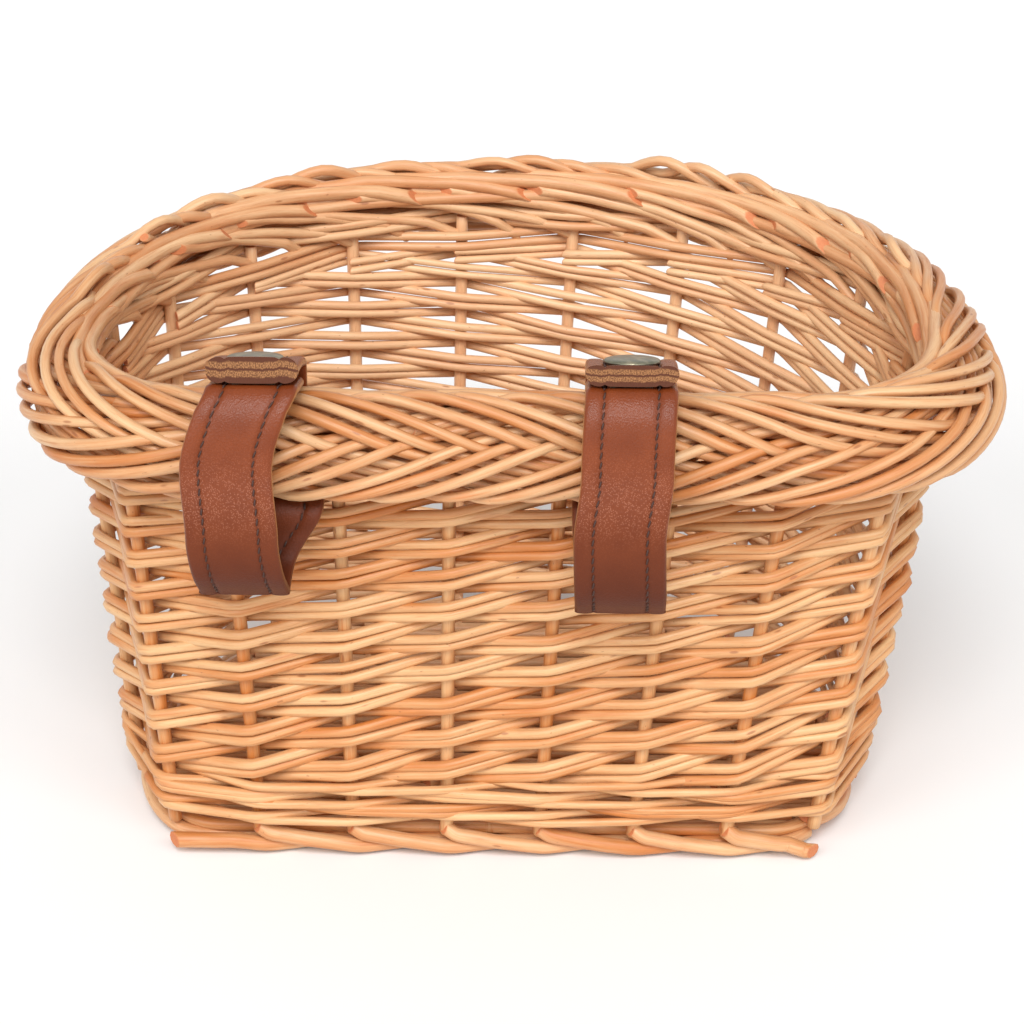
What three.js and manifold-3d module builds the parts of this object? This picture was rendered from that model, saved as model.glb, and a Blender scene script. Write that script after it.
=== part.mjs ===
// A D-shaped willow bicycle basket with two press-stud handlebar straps. Millimetres, +Z up.
// The flat side with the straps faces -Y, and the bow faces +Y.
import * as THREE from "three";
import Module from "manifold-3d";

// Plan of the stake line: a straight back, two quarter-ellipse corners and a full, rounded bow.
const TOP_HALF_WIDTH = 118; // at the wall top
const TOP_BACK = 65;
const TOP_FRONT = 94;
const TOP_CORNER = 42; // along the back
const BASE_HALF_WIDTH = 104.5; // at the base
const BASE_BACK = 52;
const BASE_FRONT = 82;
const BASE_CORNER = 26;
const BASE_SHIFT = -4.5; // of the base along X, off the middle of the rim
const CORNER_DEPTH = 40; // of every corner, from the back towards the bow
const BOW_FULLNESS = 2.25; // power of the bow's outline: 2 is an ellipse
const BOW_POINTS = 32;

// Upright stakes.
const STAKE_COUNT = 20;
const BACK_STAKES = 8; // of them along the flat side
const STAKE_PITCH = 30.2; // along the flat side at the wall top
const STAKE_DIAMETER = 4;
const CLEAR = 0.3; // gap between touching pieces
const BEND_CLEAR = 0.4; // gap between a stake and a rod that bends round it

// Siding: one pair of thin rods starts at each stake and climbs, inside one stake and outside the next.
const PAIR_WIDTH = 2.6;
const PAIR_BUTT_HEIGHT = 5.1; // at its lower end
const PAIR_TIP_HEIGHT = 4.1;
const PAIR_GAP = 0.7;
const STROKES = 18;
const PAIR_TAIL = 6; // how far a pair's end runs past its last stake

// Wales: rods that lock the stakes at the foot and under the border.
const WALE_ROD = 3.5;
const WALE_TURNS = 3;
const TOP_PAIR_WIDTH = 2.8;
const TOP_PAIR_HEIGHT = 6.3;

// Foot and base.
const FOOT_HEIGHT = 7.2;
const FOOT_HALF_WIDTH = 4.8;
const MAT_THICKNESS = 3.4; // of the floor's rods
const MAT_PITCH = 3; // from one of those rods to the next
const BASE_STICK_DIAMETER = 3.2;
const BASE_STICK_X = 32;
const BASE_STICK_END_GAP = 2;

// Plaited border: one closed strand that goes three times round and crosses itself once at each stake.
const PLAIT_WIDTH = 9.6; // of the strand, a pair of thick rods
const PLAIT_THICKNESS = 4.8;
const PLAIT_SWING = 11; // sideways, along the arc over the wall top
const PLAIT_LIFT = 3.7; // over and under
const PLAIT_ARC_N = 1; // centre of the arc: outside the stake line
const PLAIT_ARC_DROP = 3.6; // and below the wall top
const PLAIT_LEAN = 27; // degrees, middle of the arc above the horizontal
const PLAIT_STEPS = 4; // at each stake

// Straps.
const STRAP_AFTER_STAKE = { left: 1, right: 4 }; // each passes between this stake and the next
const STRAP_WIDTH = 24;
const STRAP_THICKNESS = 2.5;
const SLOT_CLEAR = 1; // above and below the strap where it passes through the wall
const RIM_CLEAR = 1.2; // between the border and the strap end that lies on it
const STRAP_INSIDE = 8.6; // inside run, from the stake line
const STRAP_BULGE = 31.5; // front run at its widest, from the stake line
const STRAP_FOLD_N = 23; // fold at the foot of the loop
const STRAP_DROP = { left: 20, right: 24.5 }; // from the slot down to that fold
const TAB_HINGE_DROP = 4; // tab's hinge, below the press stud
const TAB_START = { n: 0.3, rise: 3.2 }; // tab just past its hinge
const INSIDE_SWAY = 0.2; // of the inside run, either way
const INSIDE_TURN = 3.5; // where it turns to the slot, above the foot of the top wale
const SLOT_RUN = { inset: 1, rise: 0.3, drop: 0.2 }; // strap in the slot: its two ends
const SLOT_EXIT = { n: 3.8, drop: 4.5 }; // back run below the slot, outside the wall
const BACK_HANG = 5; // back run halfway down to the fold, outside the wall
const BULGE_RISE = 1; // front run at its widest, above the slot
const RIM_TURN = { n: 2, drop: 1.5 }; // front run over the border: outside it, below the press stud
const SOCKET_ROOM = { near: 1, far: 3 }; // straight run of the front run past the socket's edge
const CAP_ROOM = { near: 1, far: 2, drop: 0.5 }; // tab at the cap's inner edge: inside it and beyond it
const FOLD_BACK = { n: 8.4, rise: 3.4 }; // back run before the fold: outside the wall, above the fold
const FOLD_FRONT = { n: 1.2, rise: 8.5 }; // front run after it: short of the bulge, above the fold
const OVER_BORDER = { n: 7.5, rise: 5 }; // front run at the border: outside it, above the plait's middle
// How far a strap leans towards +X from its slot: at the fold, the bulge, the border and the press stud.
const STRAP_LEAN = {
  left: { fold: -8.4, bulge: -10.2, border: -11.6, stud: -5 },
  right: { fold: 1, bulge: 0.5, border: 2.3, stud: 3.2 },
};
const STUD_CLIMB = 10; // the front run has that last lean this far past the press stud's height
const STRAP_TILT = 17; // degrees, of the two strap ends that lie on the border, rising outwards
const FRONT_END = 6.5; // from the press stud inwards to the front run's end
const TAB_END = 10; // from the press stud outwards to the tab's end
const TAB_HEM = 3.2; // length of that end, folded under down to the front run

// Press studs.
const SNAP_N = 7.5; // from the stake line
const CAP_DIAMETER = 15;
const CAP_HEIGHT = 2.4;
const SHANK_DIAMETER = 3.2;
const RIVET_DIAMETER = 5.4;
const RIVET_HEIGHT = 0.4;
const SOCKET_DIAMETER = 12;
const SOCKET_BORE = 8.4;
const SOCKET_HEIGHT = 2.2;
const SOCKET_PLATE = 0.4;
const STUD_DIAMETER = 4.4;
const STUD_HEIGHT = 1.2;

// Heights that follow from the stack of rows.
const WALE_PITCH = WALE_ROD + CLEAR;
const waleStart = FOOT_HEIGHT + CLEAR + WALE_ROD / 2;
const waleTop = waleStart + WALE_TURNS * WALE_PITCH + WALE_ROD / 2;
const pairHeight = (stroke) => THREE.MathUtils.lerp(PAIR_BUTT_HEIGHT, PAIR_TIP_HEIGHT, stroke / STROKES);
const strokeHeights = [waleTop + CLEAR + PAIR_BUTT_HEIGHT / 2];
for (let k = 1; k <= STROKES; k++) {
  strokeHeights.push(strokeHeights[k - 1] + (pairHeight(k - 1) + pairHeight(k)) / 2 + PAIR_GAP);
}
const slotBottom = strokeHeights[STROKES] + PAIR_TIP_HEIGHT / 2 + CLEAR;
const slotMiddle = slotBottom + SLOT_CLEAR + STRAP_THICKNESS / 2;
const topWaleBottom = slotMiddle + STRAP_THICKNESS / 2 + SLOT_CLEAR;
const wallTop = topWaleBottom + 2 * TOP_PAIR_HEIGHT + CLEAR;

const willow = new THREE.MeshStandardMaterial({ color: 0xd9a066, roughness: 0.5, metalness: 0 });
const leather = new THREE.MeshStandardMaterial({ color: 0x78412d, roughness: 0.45, metalness: 0 });
const snapMetal = new THREE.MeshStandardMaterial({ color: 0x55564c, roughness: 0.35, metalness: 0.9 });

const basket = new THREE.Group();

function add(name, geometry, material) {
  const mesh = new THREE.Mesh(geometry, material);
  mesh.name = name;
  basket.add(mesh);
  return mesh;
}

const numbered = (name, i) => `${name}_${String(i + 1).padStart(2, "0")}`;

// The plan of the stake line at one height, from the middle of the flat side round by +X.
function planOf(middle, halfWidth, back, front, corner) {
  const straight = halfWidth - corner;
  const bowCentre = CORNER_DEPTH - back;
  const bow = [];
  for (let i = 1; i <= BOW_POINTS; i++) {
    const turn = (i * Math.PI) / BOW_POINTS;
    const across = Math.sign(Math.cos(turn)) * Math.abs(Math.cos(turn)) ** (2 / BOW_FULLNESS);
    const ahead = Math.abs(Math.sin(turn)) ** (2 / BOW_FULLNESS);
    bow.push(new THREE.Vector2(middle + halfWidth * across, bowCentre + (front - bowCentre) * ahead));
  }
  return new THREE.Path()
    .moveTo(middle, -back)
    .lineTo(middle + straight, -back)
    .absellipse(middle + straight, bowCentre, corner, CORNER_DEPTH, -Math.PI / 2, 0)
    .splineThru(bow)
    .absellipse(middle - straight, bowCentre, corner, CORNER_DEPTH, Math.PI, 1.5 * Math.PI)
    .lineTo(middle, -back);
}

const topPlan = planOf(0, TOP_HALF_WIDTH, TOP_BACK, TOP_FRONT, TOP_CORNER);
const basePlan = planOf(BASE_SHIFT, BASE_HALF_WIDTH, BASE_BACK, BASE_FRONT, BASE_CORNER);

const wrap = (u) => ((u % 1) + 1) % 1;

// An angle brought to within half a turn either way.
const halfTurn = (angle) => (wrap(angle / (2 * Math.PI) + 0.5) - 0.5) * 2 * Math.PI;

// A place on the wall: u round the plan from 0 to 1, height z, and n outwards from the stake line.
function wallPoint(u, z, n = 0, along = 0) {
  const turn = wrap(u);
  const share = z / wallTop;
  const low = basePlan.getPoint(turn);
  const high = topPlan.getPoint(turn);
  const tangent = topPlan.getTangent(turn);
  const flat = low.lerp(high, share).addScaledVector(tangent, along);
  return new THREE.Vector3(flat.x + n * tangent.y, flat.y - n * tangent.x, z);
}

// Where each stake stands round the plan: an even pitch along the back, another round the bow.
const pitchShare = STAKE_PITCH / topPlan.getLength();
const backShare = (BACK_STAKES - 1) * pitchShare;
const bowShare = (1 - backShare) / (STAKE_COUNT - BACK_STAKES + 1);

function stakePlace(i) {
  const turns = Math.floor(i / STAKE_COUNT);
  const k = i - turns * STAKE_COUNT;
  const fromFirst = k < BACK_STAKES ? k * pitchShare : backShare + (k - BACK_STAKES + 1) * bowShare;
  return turns + fromFirst - backShare / 2;
}

// A solid through a row of like sections, closed on itself or capped at both ends.
function loft(sections, closed) {
  const sides = sections[0].length;
  const count = sections.length;
  const index = [];
  for (let i = 0; i < (closed ? count : count - 1); i++) {
    for (let j = 0; j < sides; j++) {
      const next = (i + 1) % count;
      const a = i * sides + j;
      const b = i * sides + ((j + 1) % sides);
      const c = next * sides + j;
      const d = next * sides + ((j + 1) % sides);
      index.push(a, c, b, b, c, d);
    }
  }
  const last = (count - 1) * sides;
  for (let j = 1; j < sides - 1 && !closed; j++) {
    index.push(0, j, j + 1, last, last + j + 1, last + j);
  }
  const geometry = new THREE.BufferGeometry().setFromPoints(sections.flat());
  geometry.setIndex(index);
  geometry.computeVertexNormals();
  return geometry;
}

// A six-sided rod or pair of rods where it passes a stake: its section, upright across the wall.
function rodSection(u, z, n, width, height, along = 0) {
  const corners = [[1, -0.5], [1, 0.5], [0, 1], [-1, 0.5], [-1, -0.5], [0, -1]];
  return corners.map(([side, up]) =>
    wallPoint(u, z + (up * height) / 2, n + (side * width) / 2, along),
  );
}

// How far a rod's middle line lies from the stake that it bends round, inside (-1) or outside (1).
// Its two straight runs leave the stake at a slant: the weave's own, and the turn of the plan there.
function bendOffset(i, side, width) {
  const straight = STAKE_DIAMETER / 2 + BEND_CLEAR + width / 2;
  const here = topPlan.getPoint(wrap(stakePlace(i)));
  const before = here.clone().sub(topPlan.getPoint(wrap(stakePlace(i - 1)))).angle();
  const after = topPlan.getPoint(wrap(stakePlace(i + 1))).sub(here).angle();
  const along = topPlan.getTangent(wrap(stakePlace(i))).angle();
  const turns = [halfTurn(along - before), halfTurn(after - along)];
  const turn = side > 0 ? Math.max(...turns) : Math.min(...turns);
  const weave = Math.atan((2 * straight) / STAKE_PITCH);
  return (side * straight) / Math.cos(weave + side * turn);
}

function addStakes() {
  for (let i = 0; i < STAKE_COUNT; i++) {
    const foot = wallPoint(stakePlace(i), FOOT_HEIGHT + CLEAR + STAKE_DIAMETER / 10);
    const head = wallPoint(stakePlace(i), wallTop);
    const axis = head.clone().sub(foot);
    const radius = STAKE_DIAMETER / 2;
    const rod = new THREE.CylinderGeometry(radius, radius, axis.length(), 8);
    const stake = add(numbered("stake", i), rod, willow);
    stake.position.copy(foot).lerp(head, 0.5);
    stake.quaternion.setFromUnitVectors(new THREE.Vector3(0, 1, 0), axis.normalize());
  }
}

function addSiding() {
  for (let first = 0; first < STAKE_COUNT; first++) {
    const sections = [];
    for (let k = 0; k <= STROKES; k++) {
      const side = bendOffset(first + k, k % 2 === 0 ? -1 : 1, PAIR_WIDTH);
      const z = strokeHeights[k];
      const place = stakePlace(first + k);
      if (k === 0) sections.push(rodSection(place, z, side, PAIR_WIDTH, pairHeight(k), -PAIR_TAIL));
      sections.push(rodSection(place, z, side, PAIR_WIDTH, pairHeight(k)));
      if (k === STROKES) sections.push(rodSection(place, z, side, PAIR_WIDTH, pairHeight(k), PAIR_TAIL));
    }
    add(numbered("siding_pair", first), loft(sections, false), willow);
  }
}

// The bottom wale climbs in front of two stakes and behind one.
function addBottomWale() {
  const sections = [];
  for (let k = 0; k <= WALE_TURNS * STAKE_COUNT; k++) {
    const side = bendOffset(k, k % 3 === 0 ? -1 : 1, WALE_ROD);
    const z = waleStart + (k / STAKE_COUNT) * WALE_PITCH;
    sections.push(rodSection(stakePlace(k), z, side, WALE_ROD, WALE_ROD));
  }
  add("bottom_wale", loft(sections, false), willow);
}

function addTopWales() {
  ["top_wale_lower", "top_wale_upper"].forEach((name, row) => {
    const z = topWaleBottom + TOP_PAIR_HEIGHT / 2 + row * (TOP_PAIR_HEIGHT + CLEAR);
    const sections = [];
    for (let i = 0; i < STAKE_COUNT; i++) {
      const side = bendOffset(i, (i + row) % 2 === 0 ? -1 : 1, TOP_PAIR_WIDTH);
      sections.push(rodSection(stakePlace(i), z, side, TOP_PAIR_WIDTH, TOP_PAIR_HEIGHT));
    }
    add(name, loft(sections, true), willow);
  });
}

// Section of the border strand in the upright plane across the rim, as (n, z) pairs.
const plaitCentre = wallTop - PLAIT_ARC_DROP;
const wallReach = bendOffset(3, 1, TOP_PAIR_WIDTH) + TOP_PAIR_WIDTH / 2;
const plaitInner = Math.hypot(wallReach - PLAIT_ARC_N, PLAIT_ARC_DROP) + CLEAR;
const plaitRadius = plaitInner + PLAIT_LIFT + (PLAIT_THICKNESS / 2) * Math.cos(Math.PI / 6);

// The strand leaves each edge of the border over the others, and comes to the other edge under them.
function plaitSection(phase) {
  const angle = THREE.MathUtils.degToRad(PLAIT_LEAN) - (PLAIT_SWING * Math.sin(phase)) / plaitRadius;
  const radius = plaitRadius - PLAIT_LIFT * Math.sin(2 * phase);
  const points = [];
  for (let j = 0; j < 6; j++) {
    const turn = ((j + 0.5) * Math.PI) / 3;
    const out = radius + (Math.cos(turn) * PLAIT_THICKNESS) / 2;
    const across = (Math.sin(turn) * PLAIT_WIDTH) / 2;
    const n = PLAIT_ARC_N + out * Math.cos(angle) - across * Math.sin(angle);
    const z = plaitCentre + out * Math.sin(angle) + across * Math.cos(angle);
    points.push([n, z]);
  }
  return points;
}

function addBorder() {
  const sections = [];
  const perTurn = STAKE_COUNT * PLAIT_STEPS;
  for (let i = 0; i < 3 * perTurn; i++) {
    const phase = (2 * Math.PI * i) / (3 * PLAIT_STEPS);
    sections.push(plaitSection(phase).map(([n, z]) => rimPoint(i / perTurn, n, z)));
  }
  add("border_plait", loft(sections, true), willow);
}

// The rim follows the plan at the wall top, whatever the height of the point over it.
function rimPoint(u, n, z) {
  const point = wallPoint(u, wallTop, n);
  return point.setZ(z);
}

function addFoot() {
  const half = FOOT_HALF_WIDTH;
  const shoulder = 0.7 * half;
  const low = 0.3 * FOOT_HEIGHT;
  const high = 0.7 * FOOT_HEIGHT;
  const corners = [
    [-shoulder, 0], [shoulder, 0], [half, low], [half, high],
    [shoulder, FOOT_HEIGHT], [-shoulder, FOOT_HEIGHT], [-half, high], [-half, low],
  ];
  const steps = 3 * STAKE_COUNT;
  const sections = [];
  for (let i = 0; i < steps; i++) {
    sections.push(corners.map(([n, z]) => wallPoint(i / steps, 0, n).setZ(z)));
  }
  add("foot_border", loft(sections, true), willow);
}

// Rods side by side from the flat side to the bow, each a low arch above and below, run along X.
function floorRods(inset) {
  const radius = MAT_THICKNESS / 2;
  const arch = Math.asin(MAT_PITCH / MAT_THICKNESS);
  const start = inset - BASE_BACK;
  const rows = Math.ceil((BASE_FRONT - inset - start) / MAT_PITCH);
  const upper = [];
  for (let k = 0; k < 4 * rows; k++) {
    const turn = arch * ((k % 4) / 2 - 1);
    const middle = start + (Math.floor(k / 4) + 0.5) * MAT_PITCH;
    upper.push(new THREE.Vector2(middle + radius * Math.sin(turn), radius * Math.cos(turn)));
  }
  upper.push(new THREE.Vector2(start + rows * MAT_PITCH, radius * Math.cos(arch)));
  const lower = upper.map((point) => new THREE.Vector2(point.x, -point.y)).reverse();
  const shape = new THREE.Shape([...lower, ...upper]);
  const frame = new THREE.Matrix4()
    .makeBasis(new THREE.Vector3(0, 1, 0), new THREE.Vector3(0, 0, 1), new THREE.Vector3(1, 0, 0))
    .setPosition(BASE_SHIFT - BASE_HALF_WIDTH, 0, 0);
  const options = { depth: 2 * BASE_HALF_WIDTH, bevelEnabled: false };
  return new THREE.ExtrudeGeometry(shape, options).applyMatrix4(frame);
}

// The woven floor lies inside the foot, on two sticks that run from the flat side to the bow.
function addBase() {
  const inset = FOOT_HALF_WIDTH + CLEAR;
  const outline = [];
  const steps = 3 * STAKE_COUNT;
  for (let i = 0; i < steps; i++) {
    const point = wallPoint(i / steps, 0, -inset);
    outline.push(new THREE.Vector2(point.x, point.y));
  }
  const space = new THREE.ExtrudeGeometry(new THREE.Shape(outline), {
    depth: MAT_THICKNESS,
    bevelEnabled: false,
  }).translate(0, 0, -MAT_THICKNESS / 2);
  const floor = toGeometry(toSolid(floorRods(inset)).intersect(toSolid(space)));
  add("base_mat", floor, willow).position.z = FOOT_HEIGHT - MAT_THICKNESS / 2;
  const bowCentre = CORNER_DEPTH - BASE_BACK;
  const bowDepth = BASE_FRONT - inset - bowCentre;
  const reach = (BASE_STICK_X + BASE_STICK_DIAMETER / 2) / (BASE_HALF_WIDTH - inset);
  const bowShape = (1 - reach ** BOW_FULLNESS) ** (1 / BOW_FULLNESS);
  const bowEnd = bowCentre + bowDepth * bowShape - BASE_STICK_END_GAP;
  const backEnd = inset - BASE_BACK + BASE_STICK_END_GAP;
  for (const [side, name] of [[-1, "base_stick_left"], [1, "base_stick_right"]]) {
    const radius = BASE_STICK_DIAMETER / 2;
    const height = FOOT_HEIGHT - MAT_THICKNESS - CLEAR - radius;
    const stick = add(name, new THREE.CylinderGeometry(radius, radius, bowEnd - backEnd, 10), willow);
    stick.position.set(BASE_SHIFT + side * BASE_STICK_X, (bowEnd + backEnd) / 2, height);
  }
}

// Where the straps touch the border: its widest place, and its highest along the tilt of their ends.
const tilt = THREE.MathUtils.degToRad(STRAP_TILT);
let borderTop = 0;
let borderReach = 0;
for (let i = 0; i < 360; i++) {
  for (const [n, z] of plaitSection((i * Math.PI) / 180)) {
    borderTop = Math.max(borderTop, z - (n - SNAP_N) * Math.tan(tilt));
    borderReach = Math.max(borderReach, n);
  }
}

const half = STRAP_THICKNESS / 2;
const hingeGap = half + CLEAR;
const snapZ = borderTop + (RIM_CLEAR + half) / Math.cos(tilt); // front run's end, at the press stud
const tabLift = SOCKET_HEIGHT + 2 * CLEAR + STRAP_THICKNESS; // from there up to the middle of the tab

// A place on the tilted strap ends: outwards along them from the press stud, up from the front run.
function tilted(along, up) {
  const n = SNAP_N + along * Math.cos(tilt) - up * Math.sin(tilt);
  return [n, snapZ + along * Math.sin(tilt) + up * Math.cos(tilt)];
}

// Middle lines of a strap's three pieces, seen from the side as (n, z).
const tabHinge = [-STRAP_INSIDE, snapZ - TAB_HINGE_DROP];

function strapLines(drop) {
  const fold = slotMiddle - drop;
  const back = [
    [tabHinge[0], tabHinge[1] - hingeGap],
    [-STRAP_INSIDE - INSIDE_SWAY, wallTop],
    [-STRAP_INSIDE + INSIDE_SWAY, topWaleBottom + INSIDE_TURN],
    [-wallReach + SLOT_RUN.inset, slotMiddle + SLOT_RUN.rise],
    [wallReach - SLOT_RUN.inset, slotMiddle - SLOT_RUN.drop],
    [wallReach + SLOT_EXIT.n, slotMiddle - SLOT_EXIT.drop],
    [wallReach + BACK_HANG, slotMiddle - drop / 2],
    [wallReach + FOLD_BACK.n, fold + FOLD_BACK.rise],
    [STRAP_FOLD_N - hingeGap, fold],
  ];
  const front = [
    [STRAP_FOLD_N, fold],
    [STRAP_BULGE - FOLD_FRONT.n, fold + FOLD_FRONT.rise],
    [STRAP_BULGE, slotMiddle + BULGE_RISE],
    [borderReach + OVER_BORDER.n, plaitCentre + OVER_BORDER.rise],
    [borderReach + RIM_TURN.n, snapZ - RIM_TURN.drop],
    tilted(SOCKET_DIAMETER / 2 + SOCKET_ROOM.far, 0),
    tilted(SOCKET_DIAMETER / 2 + SOCKET_ROOM.near, 0),
    tilted(0, 0),
    tilted(-FRONT_END, 0),
  ];
  const tab = [
    tabHinge,
    [tabHinge[0] + TAB_START.n, tabHinge[1] + TAB_START.rise],
    tilted(-CAP_DIAMETER / 2 - CAP_ROOM.far, tabLift - CAP_ROOM.drop),
    tilted(CAP_ROOM.near - CAP_DIAMETER / 2, tabLift),
    tilted(0, tabLift),
    tilted(TAB_END - TAB_HEM, tabLift),
  ];
  return { back, front, tab };
}

// The tab's folded end, from its lower face round to its upper one.
const hem = [
  tilted(TAB_END - TAB_HEM, half + CLEAR),
  tilted(TAB_END, half + CLEAR),
  tilted(TAB_END, tabLift + half),
];

// A strap piece: its middle line thickened to the strap's two faces and run across its width.
// An end that turns in a fold is round, and points given as its ending stand beyond the other end.
function strapPiece(line, roundStart, ending = []) {
  const points = line.map(([n, z]) => new THREE.Vector3(n, z, 0));
  const curve = new THREE.CatmullRomCurve3(points, false, "centripetal");
  const steps = 3 * line.length;
  const outer = [];
  const inner = [];
  for (let i = 0; i <= steps; i++) {
    const place = curve.getPointAt(i / steps);
    const tangent = curve.getTangentAt(i / steps);
    outer.push(new THREE.Vector2(place.x + half * tangent.y, place.y - half * tangent.x));
    inner.unshift(new THREE.Vector2(place.x - half * tangent.y, place.y + half * tangent.x));
  }
  const outline = [...outer, ...ending.map((point) => new THREE.Vector2(...point)), ...inner];
  if (roundStart) {
    const from = inner[inner.length - 1].clone().sub(new THREE.Vector2(...line[0]));
    for (let i = 1; i < 6; i++) {
      const turned = from.clone().rotateAround(new THREE.Vector2(), (i * Math.PI) / 6);
      outline.push(turned.add(new THREE.Vector2(...line[0])));
    }
  }
  return new THREE.ExtrudeGeometry(new THREE.Shape(outline), { depth: STRAP_WIDTH, bevelEnabled: false });
}

// How far up the front run a point is: its height, and inside the border's reach how far in it lies.
const frontClimb = (n, z) => z + Math.max(0, borderReach + 2 - n);

// Moves a piece sideways as its [climb, lean] stops say, eased from each stop to the next.
function leaning(geometry, stops, climb = (n, z) => z) {
  const points = geometry.getAttribute("position");
  for (let i = 0; i < points.count; i++) {
    let lean = stops[0][1];
    const place = climb(points.getX(i), points.getY(i));
    for (let k = 1; k < stops.length; k++) {
      const share = THREE.MathUtils.smoothstep(place, stops[k - 1][0], stops[k][0]);
      lean += share * (stops[k][1] - stops[k - 1][1]);
    }
    points.setZ(i, points.getZ(i) - lean);
  }
  return geometry;
}

// From a strap's side view to the basket: n outwards to -Y, and its width along X.
function strapFrame(x) {
  return new THREE.Matrix4()
    .makeBasis(new THREE.Vector3(0, -1, 0), new THREE.Vector3(0, 0, 1), new THREE.Vector3(-1, 0, 0))
    .setPosition(x + STRAP_WIDTH / 2, -TOP_BACK, 0);
}

const wasm = await Module();
wasm.setup();

function toSolid(geometry) {
  const points = geometry.getAttribute("position");
  const mesh = new wasm.Mesh({
    numProp: 3,
    vertProperties: new Float32Array(points.array),
    triVerts: geometry.index
      ? new Uint32Array(geometry.index.array)
      : Uint32Array.from({ length: points.count }, (_, i) => i),
  });
  mesh.merge();
  return new wasm.Manifold(mesh);
}

function toGeometry(solid) {
  const mesh = solid.getMesh();
  const geometry = new THREE.BufferGeometry();
  geometry.setAttribute("position", new THREE.BufferAttribute(new Float32Array(mesh.vertProperties), 3));
  geometry.setIndex(new THREE.BufferAttribute(new Uint32Array(mesh.triVerts), 1));
  return geometry;
}

// A strap end with the hole that its rivet goes through.
function punched(piece, x) {
  const radius = SHANK_DIAMETER / 2 + CLEAR;
  const tool = new THREE.CylinderGeometry(radius, radius, 6 * STRAP_THICKNESS, 16)
    .rotateX(Math.PI / 2 - tilt)
    .translate(x, -TOP_BACK - SNAP_N, snapZ);
  return toGeometry(toSolid(piece).subtract(toSolid(tool)));
}

// A turned piece from its half outline in (radius, height).
function turned(outline) {
  const profile = outline.map(([radius, height]) => new THREE.Vector2(radius, height));
  return new THREE.LatheGeometry(profile, 20).rotateX(Math.PI / 2);
}

function capOutline() {
  const shank = SHANK_DIAMETER / 2;
  const rim = CAP_DIAMETER / 2;
  const tip = -CLEAR - STRAP_THICKNESS - CLEAR - SOCKET_PLATE - CLEAR;
  const dome = [];
  for (let i = 0; i <= 5; i++) {
    const turn = (i * Math.PI) / 10;
    dome.push([rim * Math.cos(turn), 0.6 + (CAP_HEIGHT - 0.6) * Math.sin(turn)]);
  }
  dome[5][0] = 0;
  return [
    [0, tip - RIVET_HEIGHT], [RIVET_DIAMETER / 2, tip - RIVET_HEIGHT], [RIVET_DIAMETER / 2, tip],
    [shank, tip], [shank, 0], [rim, 0], ...dome,
  ];
}

function socketOutline() {
  const hole = SHANK_DIAMETER / 2 + CLEAR;
  const bore = SOCKET_BORE / 2;
  const rim = SOCKET_DIAMETER / 2;
  const plate = SOCKET_HEIGHT - SOCKET_PLATE;
  return [
    [hole, plate], [bore, plate], [bore, 0], [rim, 0],
    [rim, SOCKET_HEIGHT], [hole, SOCKET_HEIGHT], [hole, plate],
  ];
}

function studOutline() {
  const shank = SHANK_DIAMETER / 2;
  const rivet = RIVET_DIAMETER / 2;
  const under = -STRAP_THICKNESS - CLEAR;
  const stud = STUD_DIAMETER / 2;
  return [
    [0, under - RIVET_HEIGHT], [rivet, under - RIVET_HEIGHT], [rivet, under],
    [shank, under], [shank, CLEAR / 2], [stud, CLEAR / 2],
    [stud, STUD_HEIGHT - 0.3], [stud - 0.4, STUD_HEIGHT], [0, STUD_HEIGHT],
  ];
}

function addStrap(side) {
  const gap = STRAP_AFTER_STAKE[side];
  const x = (wallPoint(stakePlace(gap), slotMiddle).x + wallPoint(stakePlace(gap + 1), slotMiddle).x) / 2;
  const lean = STRAP_LEAN[side];
  const studX = x + lean.stud;
  const fold = slotMiddle - STRAP_DROP[side];
  const lines = strapLines(STRAP_DROP[side]);
  const back = leaning(strapPiece(lines.back, false), [
    [fold, lean.fold], [slotMiddle - half, 0], [slotMiddle + half, 0], [wallTop, lean.stud],
  ]);
  const frontStops = [
    [fold, lean.fold], [slotMiddle, lean.bulge],
    [plaitCentre + OVER_BORDER.rise, lean.border], [snapZ + STUD_CLIMB, lean.stud],
  ];
  const front = leaning(strapPiece(lines.front, true), frontStops, frontClimb);
  const tab = strapPiece(lines.tab, true, hem);
  add(`${side}_strap_back`, back.applyMatrix4(strapFrame(x)), leather);
  add(`${side}_strap_front`, punched(front.applyMatrix4(strapFrame(x)), studX), leather);
  add(`${side}_strap_tab`, punched(tab.applyMatrix4(strapFrame(studX)), studX), leather);
  const snap = new THREE.Group();
  snap.position.set(studX, -TOP_BACK - SNAP_N, snapZ);
  snap.rotation.x = -tilt;
  basket.add(snap);
  const turnedParts = [
    ["cap", capOutline(), tabLift + half + CLEAR],
    ["socket", socketOutline(), half + CLEAR],
    ["stud", studOutline(), half],
  ];
  for (const [name, outline, height] of turnedParts) {
    const mesh = add(`${side}_snap_${name}`, turned(outline), snapMetal);
    mesh.position.z = height;
    snap.add(mesh);
  }
}

addStakes();
addSiding();
addBottomWale();
addTopWales();
addBorder();
addFoot();
addBase();
addStrap("left");
addStrap("right");

// The part's origin is the middle of its box, at the foot.
const bounds = new THREE.Box3().setFromObject(basket);
basket.position.set(-(bounds.min.x + bounds.max.x) / 2, -(bounds.min.y + bounds.max.y) / 2, -bounds.min.z);

const part = new THREE.Group();
part.add(basket);

export default part;
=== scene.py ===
"""A D-shaped willow bicycle basket with two press-stud handlebar straps, dressed over its solids.

Sizes are in millimetres until a mesh is made, and +Z is up. The flat side with the straps faces -Y.
"""

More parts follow.
